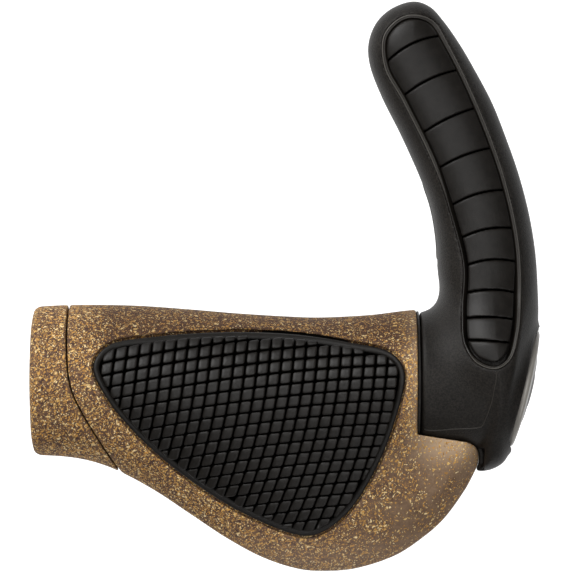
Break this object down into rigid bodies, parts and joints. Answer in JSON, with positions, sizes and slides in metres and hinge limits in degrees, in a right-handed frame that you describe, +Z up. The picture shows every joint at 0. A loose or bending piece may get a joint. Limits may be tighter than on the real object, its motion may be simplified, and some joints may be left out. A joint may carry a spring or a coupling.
{
  "type": "bicycle grip with bar end",
  "caption": "Ergonomic handlebar grip with a cork body, a rubber palm wing pad and a clamped, forward-curving bar end with a ribbed thumb pad.",
  "frame": {"origin": "on the handlebar's axis, at the mouth of the handlebar bore in the middle of the grip's inner end face", "axes": "+X outwards along the handlebar, towards the bar end; +Y forwards, the way the bar end points; +Z up, out of the palm pad"},
  "size_m": [0.1127, 0.1263, 0.035],
  "materials": {
    "cork_rubber": "cork granules in brown rubber, matte",
    "pad_rubber": "matte black rubber",
    "nylon": "finely grained black nylon",
    "trim": "satin grey",
    "clamp_alloy": "bead blasted",
    "bolt_steel": "black oxide"
  },
  "bodies": {
    "grip": {"grip_core": "nylon", "cork_shell": "cork_rubber", "inner_collar": "cork_rubber", "palm_pad": "pad_rubber"},
    "bar_end": {"bar_end_body": "nylon", "thumb_pad": "pad_rubber", "back_pad": "pad_rubber", "back_cover": "nylon", "clamp_band": "clamp_alloy"},
    "bolt_feed": {"bolt_washer": "bolt_steel"},
    "bolt": {"clamp_bolt": "bolt_steel"},
    "end_cap": {"end_plug": "nylon", "trim_ring": "trim"}
  },
  "joints": [
    {"name": "bar_end_swing", "type": "hinge", "parent": "grip", "child": "bar_end", "pos_m": [0.1, 0, 0], "axis": [1, 0, 0], "range_deg": [-60, 60]},
    {"name": "bolt_feed", "type": "slide", "parent": "bar_end", "child": "bolt_feed", "axis": [0, 0, -1], "range_m": [0, 0.012]},
    {"name": "bolt_turn", "type": "hinge", "parent": "bolt_feed", "child": "bolt", "pos_m": [0.0999, 0.0192, -0.01], "axis": [0, 0, -1], "range_deg": [0, 5400]},
    {"name": "end_cap_pull", "type": "slide", "parent": "bar_end", "child": "end_cap", "axis": [1, 0, 0], "range_m": [0, 0.02]}
  ],
  "couplings": [
    {"joint": "bolt_turn", "follows": "bolt_feed", "rad_per_m": 7854}
  ]
}
